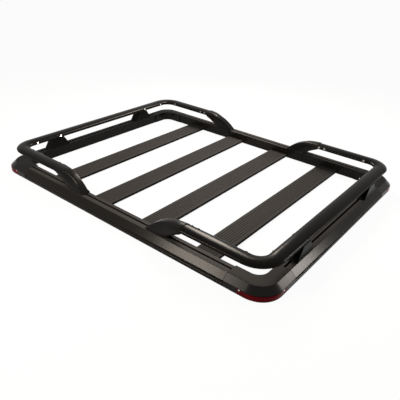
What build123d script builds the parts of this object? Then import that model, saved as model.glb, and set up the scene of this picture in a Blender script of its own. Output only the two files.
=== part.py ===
# Roof basket: an extruded perimeter frame with crossways slats and a raised oval-tube hoop at each end.
# Millimetres, Z up. X runs along the vehicle, Y across it, and Z = 0 is the flat underside.
import math
import os

from build123d import *

# overall size
length = 1620.0
width = 1250.0

# rail section: distances inboard from the outer face, heights from the underside
railHeight = 50.0
shoulderHeight = 27.0
shoulderInset = 25.0
innerWall = 73.0
ledgeReach = 77.0
ledgeTop = 15.0
ledgeNose = 4.0
topSlotCentre = 51.0
topSlotNeck = 9.0
topSlotLip = 4.0
topSlotWidth = 18.0
topSlotDepth = 11.0
sideSlotLow = 13.0
sideSlotHigh = 24.0
sideSlotDepth = 8.0
sideSlotBevel = 2.0

# corner castings
cornerArm = 190.0
cornerRadius = 100.0
cornerInnerInset = 80.0
cornerInnerRadius = 45.0

# corner lenses
lensRadius = 92.0
lensReach = 130.0
lensLow = 2.0
lensHigh = 23.0
lensDepth = 8.0

# slats
slatCount = 4
slatEndSpace = 346.5
slatWidth = 112.0
slatThickness = 12.0
slatEdge = 3.0
slatRibs = (-36.0, -24.0, -12.0, 0.0, 12.0, 24.0, 36.0)
slatRibWidth = 3.0
slatRibDepth = 1.5

# end hoops: oval tube
tubeWide = 66.0
tubeTall = 28.0
tubeInset = 58.0
tubeHeight = 117.0
tubeBend = 78.0

# hoop feet: an oval collar on the tube that ramps down to a flat wedge on the rail
footSeam = 384.0
footArch = 308.0
footTip = 200.0
footCollar = 2.0
footCrownEnd = 10.0
footCrestRise = 4.0
footTipRise = 3.0
footOuterMargin = 5.0
footInnerOverhang = 2.0
footFlangeThick = 6.0
footFlangeDrop = 28.0
footFlangeRise = 8.0
footFlangeMargin = 16.0

# brackets under the end tubes
bracketInset = 303.0
bracketFoot = 131.0
bracketHead = 51.0
bracketTopDrop = 7.0

halfLength = length / 2
halfWidth = width / 2


def rail_section():
    neck = topSlotNeck / 2
    cavity = topSlotWidth / 2
    lip = railHeight - topSlotLip
    floor = railHeight - topSlotDepth
    return [
        (0, 0),
        (0, sideSlotLow - sideSlotBevel),
        (sideSlotBevel, sideSlotLow),
        (sideSlotDepth, sideSlotLow),
        (sideSlotDepth, sideSlotHigh),
        (0, sideSlotHigh),
        (0, shoulderHeight),
        (shoulderInset, railHeight),
        (topSlotCentre - neck, railHeight),
        (topSlotCentre - neck, lip),
        (topSlotCentre - cavity, lip),
        (topSlotCentre - cavity, floor),
        (topSlotCentre + cavity, floor),
        (topSlotCentre + cavity, lip),
        (topSlotCentre + neck, lip),
        (topSlotCentre + neck, railHeight),
        (innerWall, railHeight),
        (innerWall, ledgeTop),
        (ledgeReach, ledgeNose),
        (ledgeReach, 0),
    ]


def side_rail(side):
    run = halfLength - cornerArm
    points = [(side * (halfWidth - u), z) for u, z in rail_section()]
    face = Plane.YZ * make_face(Polyline(*points, close=True))
    rail = extrude(Pos(-run, 0, 0) * face, amount=2 * run, dir=(1, 0, 0))
    # a seat in the ledge for the end of each slat
    reach = 2 * (ledgeReach - innerWall)
    seat = Box(slatWidth, reach, slatThickness)
    y = side * (halfWidth - innerWall - reach / 2)
    for x in slat_places():
        rail -= Pos(x, y, ledgeNose + slatThickness / 2) * seat
    return rail


def end_rail(side):
    run = halfWidth - cornerArm
    points = [(side * (halfLength - u), z) for u, z in rail_section()]
    face = Plane.XZ * make_face(Polyline(*points, close=True))
    return extrude(Pos(0, -run, 0) * face, amount=2 * run, dir=(0, 1, 0))


def slat_places():
    run = halfLength - slatEndSpace
    return [run * (2 * i / (slatCount - 1) - 1) for i in range(slatCount)]


def slat_section():
    half = slatWidth / 2
    top = ledgeNose + slatThickness
    soft = slatEdge / 3
    points = [(-half, ledgeNose), (-half, top - slatEdge), (-half + soft, top - soft), (-half + slatEdge, top)]
    for x in slatRibs:
        points += [
            (x - slatRibWidth / 2, top),
            (x - slatRibWidth / 2, top - slatRibDepth),
            (x + slatRibWidth / 2, top - slatRibDepth),
            (x + slatRibWidth / 2, top),
        ]
    points += [(half - slatEdge, top), (half - soft, top - soft), (half, top - slatEdge), (half, ledgeNose)]
    return points


def slat(x):
    run = halfWidth - innerWall
    face = Plane.XZ * make_face(Polyline(*slat_section(), close=True))
    return extrude(Pos(x, -run, 0) * face, amount=2 * run, dir=(0, 1, 0))


def plan(inset, radius, z):
    return Pos(0, 0, z) * RectangleRounded(length - 2 * inset, width - 2 * inset, radius)


def corner_box(arm):
    return Pos(halfLength - arm / 2, arm / 2 - halfWidth, railHeight / 2) * Box(arm, arm, railHeight)


def lens():
    tall = lensHigh - lensLow
    outer = extrude(plan(0, lensRadius, lensLow), amount=tall)
    ring = outer - extrude(plan(lensDepth, lensRadius - lensDepth, lensLow), amount=tall)
    return ring & corner_box(lensReach)


def casting():
    rise = railHeight - shoulderHeight
    slope = math.degrees(math.atan2(shoulderInset, rise))
    lower = extrude(plan(0, cornerRadius, 0), amount=shoulderHeight)
    upper = extrude(plan(0, cornerRadius, shoulderHeight), amount=rise, taper=slope)
    hollow = extrude(plan(cornerInnerInset, cornerInnerRadius, 0), amount=railHeight)
    return ((lower + upper - hollow) & corner_box(cornerArm)) - lens()


def crown(wide, tall, end):
    # the upper half of an oval: an arc of the end radius at each side, with a flatter one over the top
    a = wide / 2
    b = tall / 2
    big = ((a - end) ** 2 + b ** 2 - end ** 2) / (2 * (b - end))
    x = (a - end) * big / (big - end)
    z = end * (big - b) / (big - end)
    turn = math.degrees(math.atan2(big - b, a - end))
    return [
        CenterArc((a - end, 0), end, 0, turn),
        ThreePointArc((x, z), (0, b), (-x, z)),
        CenterArc((end - a, 0), end, 180 - turn, turn),
    ]


def tube():
    x = halfLength - tubeInset
    y = halfWidth - tubeInset
    start = Vector(footSeam, -y, tubeHeight)
    path = FilletPolyline(
        start,
        (x, -y, tubeHeight),
        (x, y, tubeHeight),
        (footSeam, y, tubeHeight),
        radius=tubeBend,
    )
    section = Plane(start, x_dir=(0, 1, 0), z_dir=(1, 0, 0)) * Ellipse(tubeWide / 2, tubeTall / 2)
    return sweep(section, path=path)


def foot():
    # the side view has two arcs that leave the tube level: the ramp above and the arch below
    crest = tubeHeight + tubeTall / 2 + footCollar + footCrestRise
    belly = tubeHeight - tubeTall / 2 - footCollar
    ramp = TangentArc((footSeam, crest), (footTip, railHeight + footTipRise), tangent=(-1, 0))
    arch = TangentArc((footSeam, belly), (footArch, railHeight), tangent=(-1, 0))
    sole = Polyline(ramp @ 1, (footTip, railHeight), (footArch, railHeight))
    side = make_face([*ramp.edges(), *sole.edges(), *arch.edges(), Line(arch @ 0, ramp @ 0)])
    # the end view is the upper half of the tube's oval on flanks that narrow to the rail's top
    wide = tubeWide + 2 * footCollar
    tall = tubeTall + 2 * footCollar
    centre = tubeInset - halfWidth
    flanks = Polyline(
        (-wide / 2, 0),
        (shoulderInset + footOuterMargin - tubeInset, railHeight - tubeHeight),
        (innerWall + footInnerOverhang - tubeInset, railHeight - tubeHeight),
        (wide / 2, 0),
    )
    section = Pos(centre, tubeHeight) * make_face([*crown(wide, tall, footCrownEnd), *flanks.edges()])
    block = extrude(Plane.YZ * section, amount=footSeam, dir=(1, 0, 0))
    body = block & extrude(Pos(0, centre, 0) * (Plane.XZ * side), amount=wide, both=True)
    run = footArch - footTip - 2 * footFlangeMargin
    flange = Box(run, footFlangeThick, footFlangeDrop + footFlangeRise)
    x = (footArch + footTip) / 2
    y = innerWall + footFlangeThick / 2 - halfWidth
    z = railHeight + (footFlangeRise - footFlangeDrop) / 2
    return body + Pos(x, y, z) * flange


def bracket():
    centre = bracketInset - halfWidth
    points = [
        (centre - bracketFoot / 2, railHeight),
        (centre + bracketFoot / 2, railHeight),
        (centre + bracketHead / 2, tubeHeight - bracketTopDrop),
        (centre - bracketHead / 2, tubeHeight - bracketTopDrop),
    ]
    face = Plane.YZ * make_face(Polyline(*points, close=True))
    inner = halfLength - innerWall
    return extrude(Pos(inner, 0, 0) * face, amount=innerWall - shoulderInset, dir=(1, 0, 0)) - tube()


def in_quarter(piece, sx, sy):
    # pieces are drawn in the front right quarter, at +X and -Y
    if sx < 0 and sy > 0:
        return Rot(0, 0, 180) * piece
    if sx < 0:
        return mirror(piece, about=Plane.YZ)
    return mirror(piece, about=Plane.XZ) if sy > 0 else piece


def build():
    ends = {"front": 1, "rear": -1}
    sides = {"left": 1, "right": -1}
    quarter = {"corner": casting(), "lens": lens(), "hoop_foot": foot(), "hoop_bracket": bracket()}
    hoop = tube()
    pieces = {}
    for name, side in sides.items():
        pieces["side_rail_" + name] = side_rail(side)
    for name, side in ends.items():
        pieces["end_rail_" + name] = end_rail(side)
        pieces["hoop_tube_" + name] = in_quarter(hoop, side, -1)
    for i, x in enumerate(slat_places()):
        pieces["slat_%d" % (i + 1)] = slat(x)
    for end, sx in ends.items():
        for hand, sy in sides.items():
            for kind, piece in quarter.items():
                pieces["%s_%s_%s" % (kind, end, hand)] = in_quarter(piece, sx, sy)
    return pieces


os.makedirs("parts", exist_ok=True)
for name, piece in build().items():
    export_step(piece, "parts/%s.step" % name)
    print(name, round(piece.volume / 1000.0, 1), "cm3")
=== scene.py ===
import math

import bmesh
import bpy
from mathutils import Matrix, Vector


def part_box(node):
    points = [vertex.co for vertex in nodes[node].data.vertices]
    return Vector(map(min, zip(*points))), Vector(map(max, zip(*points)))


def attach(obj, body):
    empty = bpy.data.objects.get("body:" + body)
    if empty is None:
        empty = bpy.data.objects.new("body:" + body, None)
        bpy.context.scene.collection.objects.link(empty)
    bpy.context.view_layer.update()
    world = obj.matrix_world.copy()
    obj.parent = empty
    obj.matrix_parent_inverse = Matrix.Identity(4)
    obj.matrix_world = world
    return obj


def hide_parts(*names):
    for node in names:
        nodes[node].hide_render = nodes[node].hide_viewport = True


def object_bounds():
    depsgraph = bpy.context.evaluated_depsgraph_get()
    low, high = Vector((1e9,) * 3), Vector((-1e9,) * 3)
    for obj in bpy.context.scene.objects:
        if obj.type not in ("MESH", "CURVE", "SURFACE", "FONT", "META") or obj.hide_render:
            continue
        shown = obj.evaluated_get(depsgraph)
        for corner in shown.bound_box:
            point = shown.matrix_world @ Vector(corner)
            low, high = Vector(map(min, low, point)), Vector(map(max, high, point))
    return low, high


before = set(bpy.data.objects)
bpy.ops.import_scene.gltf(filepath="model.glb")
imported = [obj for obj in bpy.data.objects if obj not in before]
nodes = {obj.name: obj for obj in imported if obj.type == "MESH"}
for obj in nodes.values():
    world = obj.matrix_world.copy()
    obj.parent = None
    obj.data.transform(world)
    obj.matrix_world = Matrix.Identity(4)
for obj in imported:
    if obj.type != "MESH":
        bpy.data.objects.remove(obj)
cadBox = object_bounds()
lowCorner, highCorner = cadBox
halfLength = highCorner.x
halfWidth = highCorner.y
ends = {"front": 1, "rear": -1}  # which way each lies along X
hands = {"left": 1, "right": -1}  # which way each lies along Y
print("frame loaded:", len(nodes), "nodes")


def nodesNamed(start):
    return [nodes[name] for name in sorted(nodes) if name.startswith(start)]


def addNode(tree, kind, **sockets):
    node = tree.nodes.new(kind)
    for name, value in sockets.items():
        node.inputs[name].default_value = value
    return node


def mathNode(tree, operation, first, second=0.0):
    node = tree.nodes.new("ShaderNodeMath")
    node.operation = operation
    for source, socket in zip((first, second), node.inputs):
        if isinstance(source, float):
            socket.default_value = source
        else:
            tree.links.new(source, socket)
    return node.outputs[0]


def emptyMaterial(name):
    material = bpy.data.materials.new(name)
    material.use_nodes = True
    tree = material.node_tree
    shader = next(n for n in tree.nodes if n.type == "BSDF_PRINCIPLED")
    place = tree.nodes.new("ShaderNodeTexCoord").outputs["Object"]
    return material, tree, shader, place


def ramp(tree, source, low, high, start, end):
    node = tree.nodes.new("ShaderNodeMapRange")
    node.inputs["From Min"].default_value = start
    node.inputs["From Max"].default_value = end
    node.inputs["To Min"].default_value = low
    node.inputs["To Max"].default_value = high
    tree.links.new(source, node.inputs["Value"])
    return node.outputs["Result"]


def colourRamp(tree, source, low, high):
    node = tree.nodes.new("ShaderNodeMix")
    node.data_type = "RGBA"
    node.inputs["A"].default_value = (*low, 1)
    node.inputs["B"].default_value = (*high, 1)
    tree.links.new(source, node.inputs["Factor"])
    return node.outputs["Result"]


noiseLook = {
    "span": (0.3, 0.7),  # the part of its range that most of a noise lies in
    "cloudDetail": 4.0, "grainDetail": 3.0, "grainRough": 0.6, "scratchDetail": 2.0,
}


# share of painted light and shade by how a face lies: 1 on level faces, 0 on upright ones
def paintedFacingShare(tree, look):
    split = tree.nodes.new("ShaderNodeSeparateXYZ")
    if "edgeFrom" in look:  # painted shade on the slats' side edges: by the share of the width, so that the grooves count as level and only the outer strips take the darker upright colour
        across = tree.nodes.new("ShaderNodeTexCoord").outputs["Generated"]
        tree.links.new(across, split.inputs[0])
        fromMiddle = mathNode(tree, "SUBTRACT", split.outputs["X"], 0.5)
        offset = mathNode(tree, "ABSOLUTE", fromMiddle)
        return ramp(tree, offset, 1.0, 0.0, *look["edgeFrom"])
    facing = tree.nodes.new("ShaderNodeNewGeometry").outputs["True Normal"]
    tree.links.new(facing, split.inputs[0])
    return ramp(tree, split.outputs["Z"], 0.0, 1.0, *look["levelFrom"])


def powderCoat(name, look):
    material, tree, shader, place = emptyMaterial(name)
    cloud = addNode(tree, "ShaderNodeTexNoise", Scale=look["cloudScale"], Detail=noiseLook["cloudDetail"])
    grain = addNode(tree, "ShaderNodeTexNoise", Scale=look["grainScale"], Detail=noiseLook["grainDetail"])
    grain.inputs["Roughness"].default_value = noiseLook["grainRough"]
    stretch = addNode(tree, "ShaderNodeMapping", Scale=look["grainStretch"])
    tree.links.new(place, cloud.inputs["Vector"])
    tree.links.new(place, stretch.inputs["Vector"])
    tree.links.new(stretch.outputs["Vector"], grain.inputs["Vector"])
    shade = colourRamp(tree, cloud.outputs["Fac"], look["dark"], look["light"])
    gloss = ramp(tree, grain.outputs["Fac"], look["smooth"], look["rough"], *noiseLook["span"])
    if "side" in look:  # painted light and shade by facing: level faces are painted another colour than the upright faces, lighter or darker as light falls on them, and level faces are also duller
        paintedFacing = paintedFacingShare(tree, look)
        paintedShadeMix = tree.nodes.new("ShaderNodeMix")
        paintedShadeMix.data_type = "RGBA"
        paintedShadeMix.inputs["A"].default_value = (*look["side"], 1)
        tree.links.new(paintedFacing, paintedShadeMix.inputs["Factor"])
        tree.links.new(shade, paintedShadeMix.inputs["B"])
        shade = paintedShadeMix.outputs["Result"]
        glossMix = addNode(tree, "ShaderNodeMix", B=look["levelRough"])
        tree.links.new(paintedFacing, glossMix.inputs["Factor"])
        tree.links.new(gloss, glossMix.inputs["A"])
        gloss = glossMix.outputs["Result"]
    tree.links.new(shade, shader.inputs["Base Color"])
    tree.links.new(gloss, shader.inputs["Roughness"])
    bump = addNode(tree, "ShaderNodeBump", Strength=look["bump"], Distance=look["bumpDepth"])
    tree.links.new(grain.outputs["Fac"], bump.inputs["Height"])
    tree.links.new(bump.outputs["Normal"], shader.inputs["Normal"])
    shader.inputs["Specular IOR Level"].default_value = look["specular"]
    return material


def redPlastic(name, look):
    material, tree, shader, place = emptyMaterial(name)
    cells = addNode(tree, "ShaderNodeTexVoronoi", Scale=look["cellScale"], Randomness=0.0)
    tree.links.new(place, cells.inputs["Vector"])
    shade = colourRamp(tree, cells.outputs["Distance"], look["light"], look["dark"])
    tree.links.new(shade, shader.inputs["Base Color"])
    bump = addNode(tree, "ShaderNodeBump", Strength=look["bump"], Distance=look["bumpDepth"])
    tree.links.new(cells.outputs["Distance"], bump.inputs["Height"])
    tree.links.new(bump.outputs["Normal"], shader.inputs["Normal"])
    shader.inputs["Roughness"].default_value = look["rough"]
    shader.inputs["Specular IOR Level"].default_value = look["specular"]
    return material


def bareMetal(name, look):
    material, tree, shader, place = emptyMaterial(name)
    detail = noiseLook["scratchDetail"]
    scratch = addNode(tree, "ShaderNodeTexNoise", Scale=look["scratchScale"], Detail=detail)
    tree.links.new(place, scratch.inputs["Vector"])
    gloss = ramp(tree, scratch.outputs["Fac"], look["smooth"], look["rough"], *noiseLook["span"])
    tree.links.new(gloss, shader.inputs["Roughness"])
    shade = colourRamp(tree, scratch.outputs["Fac"], look["dark"], look["light"])
    tree.links.new(shade, shader.inputs["Base Color"])
    shader.inputs["Metallic"].default_value = 1.0
    return material


railLook = {
    # painted light and shade: the upright faces are painted darker than the lighter level tops
    "side": (0.0095, 0.0086, 0.0078), "levelFrom": (0.8, 0.95), "levelRough": 0.55,
    "dark": (0.0220, 0.0206, 0.0198), "light": (0.0310, 0.0290, 0.0278),
    "cloudScale": 5.0, "grainScale": 2400.0, "grainStretch": (1, 1, 1),
    "smooth": 0.18, "rough": 0.21, "bump": 0.002, "bumpDepth": 0.0004, "specular": 0.05,
}
slatLook = {
    # painted shade: the slats' side edges are painted near black against the lighter top
    "side": (0.0060, 0.0056, 0.0053), "edgeFrom": (0.484, 0.494), "levelRough": 0.6,
    "dark": (0.026, 0.0248, 0.0244), "light": (0.036, 0.0343, 0.0336),
    "cloudScale": 3.0, "grainScale": 3000.0, "grainStretch": (1, 0.3, 1),
    "smooth": 0.40, "rough": 0.43, "bump": 0.001, "bumpDepth": 0.0003, "specular": 0.02,
}
tubeLook = {
    "dark": (0.0036, 0.0033, 0.0030), "light": (0.0060, 0.0055, 0.0050),
    "cloudScale": 6.0, "grainScale": 2600.0, "grainStretch": (1, 1, 1),
    "smooth": 0.20, "rough": 0.23, "bump": 0.001, "bumpDepth": 0.0004, "specular": 0.034,
}
castingLook = {
    # painted shade: the level tops of the castings are painted darker than the upright faces
    "side": (0.0062, 0.0057, 0.0052), "levelFrom": (0.8, 0.95), "levelRough": 0.6,
    "dark": (0.0040, 0.0037, 0.0034), "light": (0.0066, 0.0061, 0.0056),
    "cloudScale": 9.0, "grainScale": 2000.0, "grainStretch": (1, 1, 1),
    "smooth": 0.26, "rough": 0.30, "bump": 0.002, "bumpDepth": 0.0005, "specular": 0.085,
}
footCoatLook = {
    "dark": (0.0048, 0.0044, 0.0041), "light": (0.0085, 0.0078, 0.0072),
    "cloudScale": 9.0, "grainScale": 2000.0, "grainStretch": (1, 1, 1),
    "smooth": 0.20, "rough": 0.24, "bump": 0.002, "bumpDepth": 0.0005, "specular": 0.06,
}
lensLook = {
    "dark": (0.042, 0.0007, 0.0015), "light": (0.14, 0.0018, 0.0050),
    "cellScale": 260.0, "bump": 0.30, "bumpDepth": 0.0008, "rough": 0.22, "specular": 0.03,
}
steelLook = {
    "dark": (0.40, 0.39, 0.37), "light": (0.55, 0.53, 0.51),
    "scratchScale": 900.0, "smooth": 0.18, "rough": 0.32,
}
zincLook = {
    "dark": (0.11, 0.107, 0.104), "light": (0.16, 0.156, 0.152),
    "scratchScale": 900.0, "smooth": 0.40, "rough": 0.50,
}
rubberLook = {
    "dark": (0.010, 0.0098, 0.0095), "light": (0.016, 0.0156, 0.0150),
    "cloudScale": 20.0, "grainScale": 500.0, "grainStretch": (1, 1, 1),
    "smooth": 0.62, "rough": 0.75, "bump": 0.05, "bumpDepth": 0.0003, "specular": 0.05,
}
finishes = {
    "rail": powderCoat("satinRailCoat", railLook),
    "slat": powderCoat("texturedSlatCoat", slatLook),
    "tube": powderCoat("smoothTubeCoat", tubeLook),
    "casting": powderCoat("castingCoat", castingLook),
    "foot": powderCoat("footCoat", footCoatLook),
    "lens": redPlastic("redReflector", lensLook),
    "steel": bareMetal("brightSteel", steelLook),
    "zinc": bareMetal("greyZinc", zincLook),
    "rubber": powderCoat("blackGasket", rubberLook),
}
print("finishes made:", len(finishes))

dressSizes = {
    "weld": 0.00001, "sliver": 0.00003, "flatAngle": 0.4,
    "sharpAngle": 32, "segments": 2, "flatWeight": 100,
}
dressing = {  # the finish of each kind of node, and the width of its soft edges
    "side_rail": ("rail", 0.0009), "end_rail": ("rail", 0.0009),
    "slat": ("slat", 0.0006), "hoop_tube": ("tube", 0),
    "corner": ("casting", 0.0012),
    "hoop_bracket": ("tube", 0.0012), "lens": ("lens", 0.0008),
}


def shadeByAngle(limit):
    group = bpy.data.node_groups.new("shadeByAngle", "GeometryNodeTree")
    group.interface.new_socket("Geometry", in_out="INPUT", socket_type="NodeSocketGeometry")
    group.interface.new_socket("Geometry", in_out="OUTPUT", socket_type="NodeSocketGeometry")
    start = group.nodes.new("NodeGroupInput")
    end = group.nodes.new("NodeGroupOutput")
    faces = group.nodes.new("GeometryNodeSetShadeSmooth")
    faces.domain = "FACE"
    edges = group.nodes.new("GeometryNodeSetShadeSmooth")
    edges.domain = "EDGE"
    edges.inputs["Shade Smooth"].default_value = False
    angle = group.nodes.new("GeometryNodeInputMeshEdgeAngle")
    sharp = group.nodes.new("FunctionNodeCompare")
    sharp.data_type = "FLOAT"
    sharp.operation = "GREATER_THAN"
    sharp.inputs["B"].default_value = math.radians(limit)
    group.links.new(start.outputs[0], faces.inputs["Geometry"])
    group.links.new(faces.outputs[0], edges.inputs["Geometry"])
    group.links.new(angle.outputs["Unsigned Angle"], sharp.inputs["A"])
    group.links.new(sharp.outputs["Result"], edges.inputs["Selection"])
    group.links.new(edges.outputs[0], end.inputs[0])
    return group


softShading = shadeByAngle(dressSizes["sharpAngle"])


def softenEdges(obj, width):
    flat = obj.modifiers.new("joinFlats", "DECIMATE")
    flat.decimate_type = "DISSOLVE"
    flat.angle_limit = math.radians(dressSizes["flatAngle"])
    edge = obj.modifiers.new("softEdges", "BEVEL")
    edge.width = width
    edge.segments = dressSizes["segments"]
    edge.limit_method = "ANGLE"
    edge.angle_limit = math.radians(dressSizes["sharpAngle"])
    edge.use_clamp_overlap = True
    join = obj.modifiers.new("joinSlivers", "WELD")  # where the clamp leaves a soft edge no width
    join.merge_threshold = dressSizes["sliver"]


def dress(obj, finish, bevel):
    obj.data.materials.clear()
    obj.data.materials.append(finishes[finish])
    weld = obj.modifiers.new("weld", "WELD")
    weld.merge_threshold = dressSizes["weld"]
    if bevel:
        softenEdges(obj, bevel)
    shade = obj.modifiers.new("shade", "NODES")
    shade.node_group = softShading
    if bevel:
        even = obj.modifiers.new("flatFaces", "WEIGHTED_NORMAL")  # keeps the flats flat beside the soft edges
        even.weight = dressSizes["flatWeight"]
        even.keep_sharp = True


for start, (finish, bevel) in dressing.items():
    for obj in nodesNamed(start):
        dress(obj, finish, bevel)
print("frame nodes dressed")

boltSizes = {
    "radius": 0.0042, "height": 0.0013, "socket": 0.0020, "socketDepth": 0.0011, "socketTaper": 0.96,
    "bigRadius": 0.0048, "washer": 0.0005, "washerShare": 1.25, "sides": 24, "domeSteps": 5,
}


def boltProfile(radius):
    scale = radius / boltSizes["radius"]
    washer = boltSizes["washer"]
    height = boltSizes["height"] * scale
    socket = boltSizes["socket"] * scale
    rim = radius * boltSizes["washerShare"]
    profile = [(rim, 0.0), (rim, washer), (radius, washer)]
    for i in range(1, boltSizes["domeSteps"] + 1):
        turn = 0.5 * math.pi * i / (boltSizes["domeSteps"] + 1)
        across = socket + (radius - socket) * math.cos(turn)
        profile.append((across, washer + height * math.sin(turn)))
    profile.append((socket, washer + height))
    floor = washer + height - boltSizes["socketDepth"] * scale
    profile.append((socket * boltSizes["socketTaper"], floor))
    return profile


def boltHead(mesh, place, outward, radius):
    sides = boltSizes["sides"]
    stand = Matrix.Translation(place) @ outward.to_track_quat("Z", "Y").to_matrix().to_4x4()
    rings = []
    for across, up in boltProfile(radius):
        ring = []
        for i in range(sides):
            turn = 2 * math.pi * i / sides
            point = Vector((across * math.cos(turn), across * math.sin(turn), up))
            ring.append(mesh.verts.new(stand @ point))
        rings.append(ring)
    for lower, upper in zip(rings, rings[1:]):
        for i in range(sides):
            j = (i + 1) % sides
            mesh.faces.new((lower[i], lower[j], upper[j], upper[i]))
    mesh.faces.new(rings[-1])
    mesh.faces.new(list(reversed(rings[0])))


def pieceFrom(mesh, name, finish):
    data = bpy.data.meshes.new(name)
    mesh.normal_update()
    mesh.to_mesh(data)
    mesh.free()
    obj = bpy.data.objects.new(name, data)
    bpy.context.scene.collection.objects.link(obj)
    data.materials.append(finishes[finish])
    shade = obj.modifiers.new("shade", "NODES")
    shade.node_group = softShading
    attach(obj, "root")
    return obj


tubeLow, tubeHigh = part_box("hoop_tube_front")
tube = {
    "inset": 0.058, "halfWide": 0.033, "halfTall": 0.014,
    "axisHeight": (tubeLow.z + tubeHigh.z) / 2,
}
hoopBolts = {  # places along the tube from the middle of the frame, and turns up from its inner side
    "sidePlaces": (0.402, 0.433, 0.653), "endPlaces": (0.467,), "bracketPlaces": (0.322,),
    "sideTurn": 15.0, "bracketTurn": 10.0,
}


def tubeSkin(turn):
    turn = math.radians(turn)
    inward = tube["inset"] + tube["halfWide"] * math.cos(turn)
    up = tube["axisHeight"] + tube["halfTall"] * math.sin(turn)
    slope = Vector((math.cos(turn) / tube["halfWide"], math.sin(turn) / tube["halfTall"])).normalized()
    return inward, up, slope


def sideBolts(mesh, sx):
    inward, up, slope = tubeSkin(hoopBolts["sideTurn"])
    for sy in hands.values():
        for x in hoopBolts["sidePlaces"]:
            place = Vector((sx * x, sy * (halfWidth - inward), up))
            boltHead(mesh, place, Vector((0, -sy * slope.x, slope.y)), boltSizes["radius"])


def endBolts(mesh, sx):
    inward, up, slope = tubeSkin(hoopBolts["bracketTurn"])
    for sy in hands.values():
        for places, radius in (("endPlaces", "radius"), ("bracketPlaces", "bigRadius")):
            for y in hoopBolts[places]:
                place = Vector((sx * (halfLength - inward), sy * y, up))
                boltHead(mesh, place, Vector((-sx * slope.x, 0, slope.y)), boltSizes[radius])


for end, sx in ends.items():
    mesh = bmesh.new()
    sideBolts(mesh, sx)
    pieceFrom(mesh, "hoop_bolts_" + end, "zinc")
    mesh = bmesh.new()
    endBolts(mesh, sx)
    pieceFrom(mesh, "bracket_bolts_" + end, "steel")
print("hoop bolts placed")

lensScrews = {"alongSide": 0.119, "alongEnd": 0.105, "height": 0.0225, "radius": 0.0028}
mesh = bmesh.new()
for sx in ends.values():
    for sy in hands.values():
        onSide = Vector((sx * (halfLength - lensScrews["alongSide"]), sy * halfWidth, lensScrews["height"]))
        onEnd = Vector((sx * halfLength, sy * (halfWidth - lensScrews["alongEnd"]), lensScrews["height"]))
        boltHead(mesh, onSide, Vector((0, sy, 0)), lensScrews["radius"])
        boltHead(mesh, onEnd, Vector((sx, 0, 0)), lensScrews["radius"])
pieceFrom(mesh, "lens_screws", "steel")
print("lens screws placed")

# sections of a hoop foot from its tip to the tube: metres from the middle of the frame,
# then for each point the millimetres inboard of the rail's outer face and above the underside
footLook = {
    "sections": (
        (0.200, (30, 50), (30.5, 51), (33, 52.2), (35, 53), (52, 53), (67, 53), (70, 52), (71, 50), (52, 50)),
        (0.222, (30, 50), (32, 61), (34.5, 72), (38, 75.5), (55, 75.5), (69.5, 74.5), (73, 72), (75, 50),
         (52, 50)),
        (0.256, (30, 50), (33.5, 76), (38.5, 97.5), (42.5, 101), (58, 101), (72, 100), (76, 97), (76, 50),
         (52, 50)),
        (0.302, (30, 50), (28, 92), (42, 117), (47, 121), (61, 122.5), (76, 121), (82, 116), (77, 50),
         (52, 50)),
        (0.330, (30, 70), (24, 104), (38, 126), (47, 129.5), (60, 131), (78, 128), (88, 117), (80, 72),
         (54, 68)),
        (0.360, (31, 88), (22, 112), (33, 128), (45, 132), (58, 133.5), (79, 130), (93, 117), (83, 90),
         (58, 86)),
        (0.384, (33, 100), (21, 115), (31, 129), (44, 133.5), (58, 134.5), (80, 131), (95, 117), (82, 100),
         (58, 97)),
    ),
    "perMetre": 1000,
    "crease": {2: 0.9, 3: 0.9, 5: 0.5, 0: 0.6, 7: 0.6},  # by the point's place in its section
    "endCrease": 1.0, "flangeCrease": 0.85, "levels": 3,
    "flange": {"from": 0.206, "to": 0.306, "inboard": (0.073, 0.0775), "height": (0.020, 0.056)},
}


def footBody(mesh, crease, sx, sy):
    perMetre = footLook["perMetre"]
    rings = []
    for x, *points in footLook["sections"]:
        ring = [(sx * x, sy * (halfWidth - u / perMetre), z / perMetre) for u, z in points]
        rings.append([mesh.verts.new(point) for point in ring])
    count = len(rings[0])
    for first, second in zip(rings, rings[1:]):
        for i in range(count):
            j = (i + 1) % count
            mesh.faces.new((first[i], first[j], second[j], second[i]))
        for i, value in footLook["crease"].items():
            mesh.edges.get((first[i], second[i]))[crease] = value
    for ring in (rings[0], rings[-1]):
        mesh.faces.new(ring)
        for i in range(count):
            mesh.edges.get((ring[i], ring[(i + 1) % count]))[crease] = footLook["endCrease"]


def footFlange(mesh, crease, sx, sy):
    flange = footLook["flange"]
    along = (sx * flange["from"], sx * flange["to"])
    walls = [sy * (halfWidth - u) for u in flange["inboard"]]
    corners = [[[mesh.verts.new((x, y, z)) for z in flange["height"]] for y in walls] for x in along]
    (a, b), (c, d) = corners
    for face in ((a[0], a[1], b[1], b[0]), (c[0], c[1], d[1], d[0]), (a[0], a[1], c[1], c[0]),
                 (b[0], b[1], d[1], d[0]), (a[0], b[0], d[0], c[0]), (a[1], b[1], d[1], c[1])):
        made = mesh.faces.new(face)
        for edge in made.edges:
            edge[crease] = footLook["flangeCrease"]


def footSkin(name, sx, sy):
    mesh = bmesh.new()
    crease = mesh.edges.layers.float.new("crease_edge")
    footBody(mesh, crease, sx, sy)
    footFlange(mesh, crease, sx, sy)
    bmesh.ops.recalc_face_normals(mesh, faces=mesh.faces)
    obj = pieceFrom(mesh, name + "_skin", "foot")
    soft = obj.modifiers.new("rounded", "SUBSURF")
    soft.levels = footLook["levels"]
    soft.render_levels = footLook["levels"]
    obj.modifiers.move(len(obj.modifiers) - 1, 0)
    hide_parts(name)


for end, sx in ends.items():
    for hand, sy in hands.items():
        footSkin("hoop_foot_%s_%s" % (end, hand), sx, sy)
print("feet moulded")

gasket = {"width": 0.0036, "proud": 0.0013, "steps": 72}
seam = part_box("hoop_foot_front_right")[1].x


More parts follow.
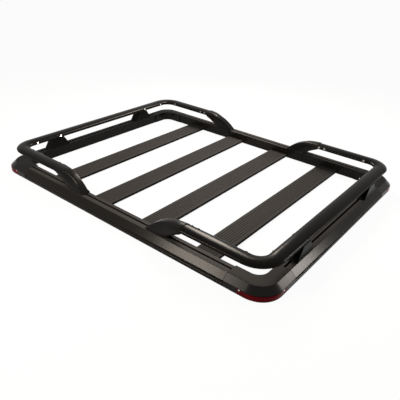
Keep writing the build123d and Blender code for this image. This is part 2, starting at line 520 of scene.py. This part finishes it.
def gasketRing(mesh, sx, sy):
    rings = []
    for x, grow in ((0, 0), (0, 1), (1, 1), (1, 0)):
        wide = tube["halfWide"] + grow * gasket["proud"]
        tall = tube["halfTall"] + grow * gasket["proud"]
        ring = []
        for i in range(gasket["steps"]):
            turn = 2 * math.pi * i / gasket["steps"]
            ring.append(mesh.verts.new((
                sx * (seam + x * gasket["width"]),
                sy * (halfWidth - tube["inset"] + wide * math.cos(turn)),
                tube["axisHeight"] + tall * math.sin(turn),
            )))
        rings.append(ring)
    for first, second in zip(rings, rings[1:] + rings[:1]):
        for i in range(gasket["steps"]):
            j = (i + 1) % gasket["steps"]
            mesh.faces.new((first[i], first[j], second[j], second[i]))


for end, sx in ends.items():
    mesh = bmesh.new()
    for sy in hands.values():
        gasketRing(mesh, sx, sy)
    bmesh.ops.recalc_face_normals(mesh, faces=mesh.faces)
    pieceFrom(mesh, "hoop_gaskets_" + end, "rubber")
print("gaskets placed")

stageLook = {
    "floorSize": 60.0, "floorDrop": 0.0006, "floorColour": (0.86, 0.86, 0.86, 1),
    "shadowShare": 0.05, "white": (1, 1, 1, 1), "fill": 0.25,
}


def seenDirectly(tree):
    path = tree.nodes.new("ShaderNodeLightPath")
    seen = mathNode(tree, "MAXIMUM", path.outputs["Is Camera Ray"], path.outputs["Is Glossy Ray"])
    return mathNode(tree, "MAXIMUM", seen, path.outputs["Is Transmission Ray"])


def mixInto(tree, share, plain, white, outputKind):
    mix = tree.nodes.new("ShaderNodeMixShader")
    tree.links.new(share, mix.inputs[0])
    tree.links.new(plain.outputs[0], mix.inputs[1])
    tree.links.new(white.outputs[0], mix.inputs[2])
    out = tree.nodes.new(outputKind)
    tree.links.new(mix.outputs[0], out.inputs["Surface"])


def floorMaterial():
    material = bpy.data.materials.new("paleFloor")
    material.use_nodes = True
    tree = material.node_tree
    tree.nodes.clear()
    share = mathNode(tree, "MULTIPLY", seenDirectly(tree), 1 - stageLook["shadowShare"])
    matt = addNode(tree, "ShaderNodeBsdfDiffuse", Color=stageLook["floorColour"])
    white = addNode(tree, "ShaderNodeEmission", Color=stageLook["white"], Strength=1.0)
    mixInto(tree, share, matt, white, "ShaderNodeOutputMaterial")
    return material


def paleFloor():
    mesh = bmesh.new()
    bmesh.ops.create_grid(mesh, x_segments=2, y_segments=2, size=stageLook["floorSize"] / 2)
    data = bpy.data.meshes.new("paleFloor")
    mesh.to_mesh(data)
    mesh.free()
    data.materials.append(floorMaterial())
    floor = bpy.data.objects.new("paleFloor", data)
    floor.location.z = lowCorner.z - stageLook["floorDrop"]
    bpy.context.scene.collection.objects.link(floor)


def whiteWorld():
    world = bpy.data.worlds.new("whiteWorld")
    bpy.context.scene.world = world
    world.use_nodes = True
    tree = world.node_tree
    tree.nodes.clear()
    dim = addNode(tree, "ShaderNodeBackground", Color=stageLook["white"], Strength=stageLook["fill"])
    white = addNode(tree, "ShaderNodeBackground", Color=stageLook["white"], Strength=1.0)
    mixInto(tree, seenDirectly(tree), dim, white, "ShaderNodeOutputWorld")


lamps = {
    "frontTop": {
        "place": (-0.75, -1.97, 1.70), "aim": (-0.75, -0.6, 0.05),
        "size": (0.70, 0.30), "power": 50, "colour": (1.0, 0.89, 0.76),
    },
    "backRight": {
        "place": (2.15, 1.35, 0.95), "aim": (0.75, -0.3, 0.08),
        "size": (0.36, 0.36), "power": 26, "colour": (1.0, 0.92, 0.84),
    },
    "backLeft": {
        "place": (-0.62, 1.02, 1.42), "aim": (0.6, -0.5, 0.13),
        "size": (0.45, 0.90), "power": 62, "colour": (1.0, 0.89, 0.78),
    },
}


def softLamp(name, lamp):
    data = bpy.data.lights.new(name, "AREA")
    data.shape = "RECTANGLE"
    data.size, data.size_y = lamp["size"]
    data.energy = lamp["power"]
    data.color = lamp["colour"]
    obj = bpy.data.objects.new(name, data)
    obj.location = lamp["place"]
    aim = Vector(lamp["aim"]) - Vector(lamp["place"])
    obj.rotation_euler = aim.to_track_quat("-Z", "Y").to_euler()
    bpy.context.scene.collection.objects.link(obj)


paleFloor()
whiteWorld()
for name, lamp in lamps.items():
    softLamp(name, lamp)
print("floor and light set")

viewpoint = {
    "azimuth": 38.0231, "elevation": 29.4014, "roll": 2.4682, "distance": 2.194,
    "target": (0.1618, -0.1902, 0.0),
    "focalPixels": 459.2958, "framePixels": 400, "sensor": 36.0,
}


def photoCamera():
    azimuth = math.radians(viewpoint["azimuth"])
    elevation = math.radians(viewpoint["elevation"])
    roll = math.radians(viewpoint["roll"])
    back = Vector((
        math.sin(azimuth) * math.cos(elevation),
        -math.cos(azimuth) * math.cos(elevation),
        math.sin(elevation),
    ))
    right = Vector((math.cos(azimuth), math.sin(azimuth), 0))
    up = back.cross(right)
    across = right * math.cos(roll) + up * math.sin(roll)
    upright = up * math.cos(roll) - right * math.sin(roll)
    place = Vector(viewpoint["target"]) + back * viewpoint["distance"]
    data = bpy.data.cameras.new("photoCamera")
    data.sensor_width = viewpoint["sensor"]
    data.lens = viewpoint["focalPixels"] * viewpoint["sensor"] / viewpoint["framePixels"]
    camera = bpy.data.objects.new("photoCamera", data)
    turn = Matrix((across, upright, back)).transposed().to_4x4()
    camera.matrix_world = Matrix.Translation(place) @ turn
    bpy.context.scene.collection.objects.link(camera)
    bpy.context.scene.camera = camera


photoCamera()
bpy.context.scene.view_settings.view_transform = "Standard"
print("camera set")
